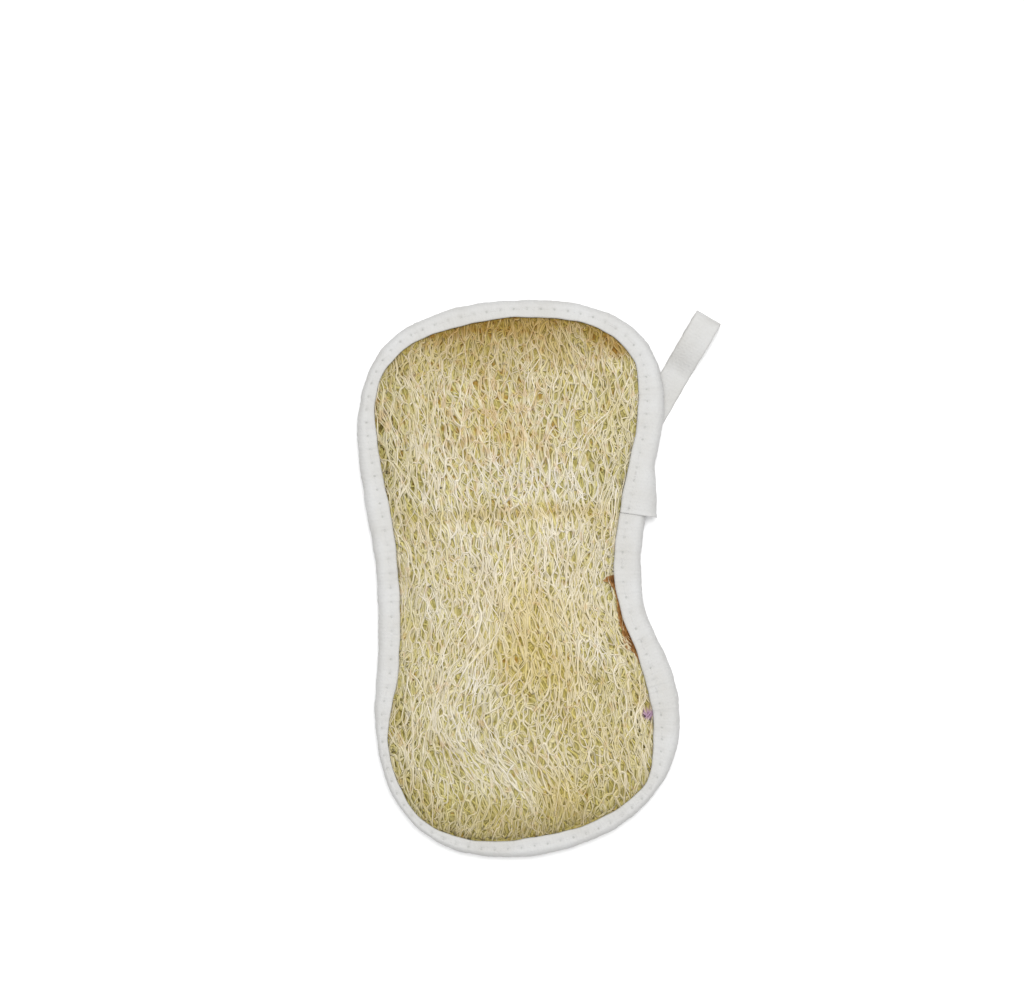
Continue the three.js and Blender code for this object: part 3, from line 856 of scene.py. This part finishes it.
def loop_piece():
    """The doubled tape of the hanging loop, swept along its own side view."""
    ply, wide = LOOP["ply"], LOOP["wide"]
    path = loop_path()
    tangent = unit(np.gradient(path, axis=0))
    normal = np.stack([-tangent[:, 1], tangent[:, 0]], 1)
    run = np.concatenate([[0], np.cumsum(np.linalg.norm(np.diff(path, axis=0), axis=1))])[:, None]
    share = np.linspace(-1, 1, LOOP_STEPS["across"])
    side = share * (wide / 2 - 0.1)
    rise = (ply / 2 - 0.04) * (1 - 0.35 * np.abs(share) ** 8)
    side, rise = np.concatenate([side, side[::-1]]), np.concatenate([rise, -rise[::-1]])
    ripple = 0.10 * np.sin(run / 2.1) + 0.08 * np.sin(run / 5.7 + 1)
    loose = np.where(np.arange(len(path)) > LOOP_STEPS["flat_root"], 0.06, 0)[:, None]
    off = rise + loose * np.sin(run / 1.9 + side * 0.5)
    x = path[:, :1] + normal[:, :1] * off - LOOP["sewn"]
    y = side * (1 + 0.012 * np.sin(run * 1.1) * np.where(side > 0, 1, -1)) + 0.35 * ripple
    z = np.maximum(LOOP_LEAST_Z, path[:, 1:] + normal[:, 1:] * off)
    c, s = math.cos(LOOP_TURN), math.sin(LOOP_TURN)
    placed = np.stack([LOOP_ROOT[0] + x * c - y * s, LOOP_ROOT[1] + x * s + y * c, z], 2)
    verts, faces = swept(placed, False)
    shape = placed.shape[:2]
    values = {
        "along": np.broadcast_to(run, shape),
        "across": np.broadcast_to(side, shape),
        "border": np.broadcast_to((np.abs(side) / (wide / 2)) ** 6, shape),
        "gap": np.full(shape, FAR_FROM_SEAM),
    }
    return make_mesh("loop_tape", verts, faces, values)


# materials


def linear(red, green, blue):
    """A 0 to 255 screen colour as the linear one that a shader takes."""
    out = []
    for part in (red, green, blue):
        v = part / 255
        out.append(v / 12.92 if v <= 0.04045 else ((v + 0.055) / 1.055) ** 2.4)
    return (*out, 1.0)


class Shader:
    """A small helper for building a node material."""

    def __init__(self, name, roughness):
        self.material = bpy.data.materials.new(name)
        self.material.use_nodes = True
        self.tree = self.material.node_tree
        self.tree.nodes.clear()
        out = self.tree.nodes.new("ShaderNodeOutputMaterial")
        self.surface = self.tree.nodes.new("ShaderNodeBsdfPrincipled")
        self.surface.inputs["Roughness"].default_value = roughness
        self.surface.inputs["Specular IOR Level"].default_value = 0.25
        self.link(self.surface.outputs[0], out.inputs[0])

    def link(self, source, target):
        if isinstance(source, bpy.types.NodeSocket):
            self.tree.links.new(source, target)
        else:
            target.default_value = source

    def node(self, kind, **settings):
        made = self.tree.nodes.new("ShaderNode" + kind)
        for key, value in settings.items():
            setattr(made, key, value)
        return made

    def math(self, operation, a, b=0.0, clamp=False):
        made = self.node("Math", operation=operation, use_clamp=clamp)
        self.link(a, made.inputs[0])
        self.link(b, made.inputs[1])
        return made.outputs[0]

    def value(self, name):
        return self.node("Attribute", attribute_name=name).outputs["Fac"]

    def place(self, stretch=(1, 1, 1)):
        """The pad's own coordinates in millimetres, divided by stretch."""
        where = self.node("TexCoord").outputs["Object"]
        made = self.node("VectorMath", operation="MULTIPLY")
        self.link(where, made.inputs[0])
        made.inputs[1].default_value = [1 / (MM * s) for s in stretch]
        return made.outputs[0]

    def noise(self, where, scale, detail):
        made = self.node("TexNoise")
        self.link(where, made.inputs["Vector"])
        made.inputs["Scale"].default_value = scale
        made.inputs["Detail"].default_value = detail
        return made.outputs["Fac"]

    def range(self, value, low, high, to_low=0.0, to_high=1.0):
        made = self.node("MapRange", clamp=True)
        self.link(value, made.inputs[0])
        for at, number in enumerate((low, high, to_low, to_high)):
            made.inputs[at + 1].default_value = number
        return made.outputs[0]

    def ramp(self, value, *stops):
        """Colours for a value, through stops of a position and a 0 to 255 colour."""
        stops = [(position, linear(*colour)) for position, colour in stops]
        made = self.node("ValToRGB")
        self.link(value, made.inputs[0])
        band = made.color_ramp
        band.elements[0].position, band.elements[0].color = stops[0]
        band.elements[1].position, band.elements[1].color = stops[-1]
        for position, colour in stops[1:-1]:
            band.elements.new(position).color = colour
        return made.outputs[0]

    def mix(self, share, first, second, blend="MIX"):
        made = self.node("Mix", data_type="RGBA", blend_type=blend)
        self.link(share, made.inputs[0])
        self.link(first, made.inputs[6])
        self.link(second, made.inputs[7])
        return made.outputs[2]

    def tinted(self, colour, name, strength, tint, blend="MULTIPLY"):
        """Mixes a tint into the colour, by strength times a value that the mesh carries."""
        share = self.math("MULTIPLY", self.value(name), strength)
        return self.mix(share, colour, tint, blend)

    def bumped(self, height, distance, strength):
        made = self.node("Bump")
        self.link(height, made.inputs["Height"])
        made.inputs["Distance"].default_value = distance * MM
        made.inputs["Strength"].default_value = strength
        self.link(made.outputs[0], self.surface.inputs["Normal"])

    def colour(self, value):
        self.link(value, self.surface.inputs["Base Color"])
        return self.material


def stained(shader, colour, rust):
    """Adds rusty spots, and the yellowing, the browning and painted shade, and the mauve mark that the
    meshes carry.
    """
    patches = shader.noise(shader.place((2.4, 3.4, 2.4)), 1.0, 2)
    patches = shader.math("ADD", patches, shader.math("MULTIPLY", shader.value("rusted"), 0.14))
    rusty = shader.range(patches, 0.59, 0.69, 0, rust)
    colour = shader.mix(rusty, colour, linear(226, 178, 100), "MULTIPLY")
    colour = shader.tinted(colour, "yellowed", 0.6, linear(240, 222, 146))
    # Browning, and the painted shade in the band along the top tape.
    colour = shader.tinted(colour, "browned_and_shaded", 0.85, linear(202, 174, 110))
    return shader.tinted(colour, "purple", 0.85, linear(180, 142, 178), "MIX")


def fibre_material():
    """Pale dry fibres, each of its own tone, and the lower ones yellower."""
    shader = Shader("luffa_fibre", 0.72)
    wander = shader.noise(shader.place((1.2, 3.5, 1.2)), 0.5, 3)
    wander = shader.math("MULTIPLY", shader.math("SUBTRACT", wander, 0.5), 0.9)
    tone = shader.math("ADD", shader.value("tone"), wander)
    tone = shader.math("SUBTRACT", tone, shader.math("MULTIPLY", shader.value("low"), 0.1))
    colour = shader.ramp(
        tone,
        (0.0, (205, 195, 150)),
        (0.25, (215, 206, 170)),
        (0.5, (222, 213, 187)),
        (0.75, (228, 220, 201)),
        (1.0, (235, 228, 214)),
    )
    colour = shader.mix(shader.value("low"), colour, linear(238, 236, 184), "MULTIPLY")
    grain = shader.noise(shader.place((0.12, 0.9, 0.12)), 1.0, 2)
    shader.bumped(grain, 0.06, 0.5)
    return shader.colour(stained(shader, colour, 0.3))


def core_material():
    """Close-packed inner fibres: pale webbing round olive pits, some brown, with painted shade in the pits.
    """
    shader = Shader("luffa_inner", 0.85)
    where = shader.place((1.1, 2.2, 1.1))
    wobble = shader.node("TexNoise")
    shader.link(where, wobble.inputs["Vector"])
    wobble.inputs["Scale"].default_value = 0.35
    nudge = shader.node("VectorMath", operation="MULTIPLY_ADD")
    shader.link(wobble.outputs["Color"], nudge.inputs[0])
    nudge.inputs[1].default_value = (2.2, 2.2, 2.2)
    shader.link(where, nudge.inputs[2])
    cell = shader.node("TexVoronoi", feature="DISTANCE_TO_EDGE")
    shader.link(nudge.outputs[0], cell.inputs["Vector"])
    cell.inputs["Scale"].default_value = 0.6
    pit = shader.range(cell.outputs["Distance"], 0.06, 0.34)
    # Painted shade: the pits' middles darken, most where the net is open.
    opened = shader.math("ADD", shader.math("MULTIPLY", shader.value("open"), 0.95), 0.16)
    dark = shader.math("MULTIPLY", pit, opened, clamp=True)
    colour = shader.ramp(
        dark,
        (0.0, (204, 195, 132)),
        (0.3, (188, 178, 108)),
        (0.6, (160, 148, 80)),
        (1.0, (96, 84, 42)),
    )
    streak = shader.noise(shader.place((0.22, 1.3, 0.22)), 1.0, 3)
    streaky = shader.range(streak, 0.35, 0.65, 0.5, 0.0)
    colour = shader.mix(streaky, colour, linear(150, 140, 96), "MULTIPLY")
    relief = shader.math("ADD", shader.math("SUBTRACT", 1.0, pit), shader.math("MULTIPLY", streak, 0.8))
    shader.bumped(relief, 0.5, 0.9)
    return shader.colour(stained(shader, colour, 0.7))


def skin_material():
    """Brown dried skin, darkest beside the tape, where it is thick."""
    shader = Shader("dried_skin", 0.6)
    spots = shader.noise(shader.place((0.5, 1.5, 0.5)), 0.9, 3)
    spots = shader.math("ADD", spots, shader.range(shader.value("thinner"), 0.2, 1.0, -0.12, 0.16))
    colour = shader.ramp(
        spots,
        (0.25, (74, 46, 16)),
        (0.42, (106, 68, 28)),
        (0.58, (134, 90, 42)),
        (0.8, (176, 140, 88)),
    )
    grain = shader.noise(shader.place((0.25, 0.9, 0.25)), 1.0, 3)
    shader.bumped(grain, 0.2, 0.8)
    return shader.colour(colour)


def cotton_material():
    """Plain white cotton weave, painted shade in its seam's needle holes and the dips between threads."""
    shader = Shader("cotton_tape", 0.88)
    along = shader.value("along")
    across = shader.value("across")
    turn = 2 * math.pi / WEAVE
    warp_way = shader.math("SINE", shader.math("MULTIPLY", along, turn))
    weft_way = shader.math("SINE", shader.math("MULTIPLY", across, turn))
    weave = shader.math("MULTIPLY", warp_way, weft_way)
    rib = shader.math("SINE", shader.math("MULTIPLY", along, turn * 0.5))
    fuzz = shader.noise(shader.place(), 1.4, 4)
    height = shader.math("ADD", shader.math("MULTIPLY", weave, 0.5), shader.math("MULTIPLY", rib, 0.2))
    height = shader.math("ADD", height, shader.math("MULTIPLY", fuzz, 2.6))
    cloud = shader.noise(shader.place(), 0.09, 3)
    colour = shader.mix(shader.range(cloud, 0.35, 0.7), linear(203, 203, 202), linear(196, 195, 192))
    # Painted shade in the dips between the threads.
    dip = shader.range(weave, -1, 1, 0.16, 0.0)
    colour = shader.mix(dip, colour, linear(172, 171, 169))
    colour = shader.tinted(colour, "border", 0.10, linear(186, 181, 168), "MIX")
    # Painted shade in the needle holes along the seam, and at the ends of the stitches.
    nearest = shader.math("ROUND", shader.math("DIVIDE", along, STITCH))
    past = shader.math("SUBTRACT", along, shader.math("MULTIPLY", nearest, STITCH))
    gap = shader.value("gap")
    away = shader.math("ADD", shader.math("MULTIPLY", past, past), shader.math("MULTIPLY", gap, gap))
    faint = shader.range(fuzz, 0.4, 0.6, 0.1, 0.5)
    hole = shader.math("MULTIPLY", shader.range(away, 0.06, 0.34, 1.0, 0.0), faint)
    colour = shader.mix(hole, colour, linear(138, 140, 134))
    shader.bumped(height, 0.12, 0.8)
    return shader.colour(colour)


def floor_material():
    shader = Shader("paper_floor", 0.9)
    cloud = shader.noise(shader.place((60, 60, 60)), 1.0, 2)
    return shader.colour(shader.mix(cloud, linear(249, 249, 249), linear(246, 246, 246)))


# putting it together

# Each net: its seed, its cells' width and length, how far it is turned in degrees, how far it lies under the
# crests, its fibres' radius, how many of them share a side, and the share of sides that are left out.
FRONT_NETS = {
    "front_net_deep": (23, (2.3, 5.0), 20, 0.95, 0.36, 1, 0.0),
    "front_net_low": (31, (3.1, 7.2), -14, 0.72, 0.35, 3, 0.04),
    "front_net_mid": (47, (2.7, 6.4), 9, 0.38, 0.28, 3, 0.12),
    "front_net_top": (59, (2.9, 7.2), -4, 0.08, 0.24, 2, 0.22),
}
BACK_NETS = {
    "back_net_deep": (89, (2.8, 6.2), 17, 0.95, 0.34, 1, 0.06),
    "back_net_low": (83, (3.3, 7.4), -9, 0.62, 0.32, 2, 0.06),
    "back_net_top": (97, (3.1, 7.2), 6, 0.20, 0.26, 2, 0.06),
}


def dress(piece, slot, material, *nodes):
    """Gives a piece its material and body, and hides the imported nodes that it stands for. Its slot is not
    used.
    """
    piece.data.materials.append(material)
    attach(piece, "root")
    if nodes:
        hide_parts(*nodes)


fibre = fibre_material()
cotton = cotton_material()

dress(core(), "luffa", core_material(), "luffa_mat")
for name, layer in FRONT_NETS.items():
    dress(net(name, True, *layer), "luffa", fibre)
dress(strands("front_strands", seed=71, count=450, thick=0.19, raised=0.12, longest=26), "luffa", fibre)
dress(skin_piece(), "luffa", skin_material())
for name, layer in BACK_NETS.items():
    dress(net(name, False, *layer), "luffa", fibre)

dress(tape_piece("bound_edge", np.arange(EDGE_STEPS), True), "cotton_tape", cotton, "edge_binding")
dress(lap_piece(), "cotton_tape", cotton)
dress(stitch_line("face_stitches", False), "cotton_tape", cotton)
dress(stitch_line("back_stitches", True), "cotton_tape", cotton)
dress(loop_piece(), "loop_tape", cotton, "hanging_loop")

FLOOR_HALF = 6000
corners = [(FLOOR_HALF * x, FLOOR_HALF * y, 0) for x, y in ((-1, -1), (1, -1), (1, 1), (-1, 1))]
floor = make_mesh("floor", corners, [[0, 1, 2, 3]])
floor.data.materials.append(floor_material())

# The camera looks straight down, turned a little, from where the photograph was taken. The photograph's
# middle lies at this x and y of the pad.
PHOTO = {"wide": 1024, "mm_per_px": 0.355, "turn": math.radians(3), "middle": (-0.91, 30.09)}
LENS, SENSOR = 85, 36
camera_data = bpy.data.cameras.new("camera")
camera_data.lens = LENS
camera_data.sensor_width = SENSOR
camera = in_scene("camera", camera_data)
distance = PHOTO["wide"] * PHOTO["mm_per_px"] * LENS / SENSOR
camera.location = (PHOTO["middle"][0] * MM, PHOTO["middle"][1] * MM, (distance + RIM_MID) * MM)
camera.rotation_euler = (0, 0, -PHOTO["turn"])
camera_data.clip_start = 0.01
bpy.context.scene.camera = camera

# One soft round light above the pad, in metres and watts, and even light from all round.
KEY = {"place": (0.06, 0.28, 1.65), "size": 0.85, "power": 26.5}
SKY = 0.50
key_light = bpy.data.lights.new("key", "AREA")
key_light.shape = "DISK"
key_light.size = KEY["size"]
key_light.energy = KEY["power"]
key = in_scene("key", key_light)
key.location = KEY["place"]
key.rotation_euler = (-Vector(KEY["place"])).to_track_quat("-Z", "Y").to_euler()
world = bpy.data.worlds.new("studio")
world.use_nodes = True
background = world.node_tree.nodes["Background"]
background.inputs["Color"].default_value = (1, 1, 1, 1)
background.inputs["Strength"].default_value = SKY
bpy.context.scene.world = world
bpy.context.scene.view_settings.view_transform = "Standard"
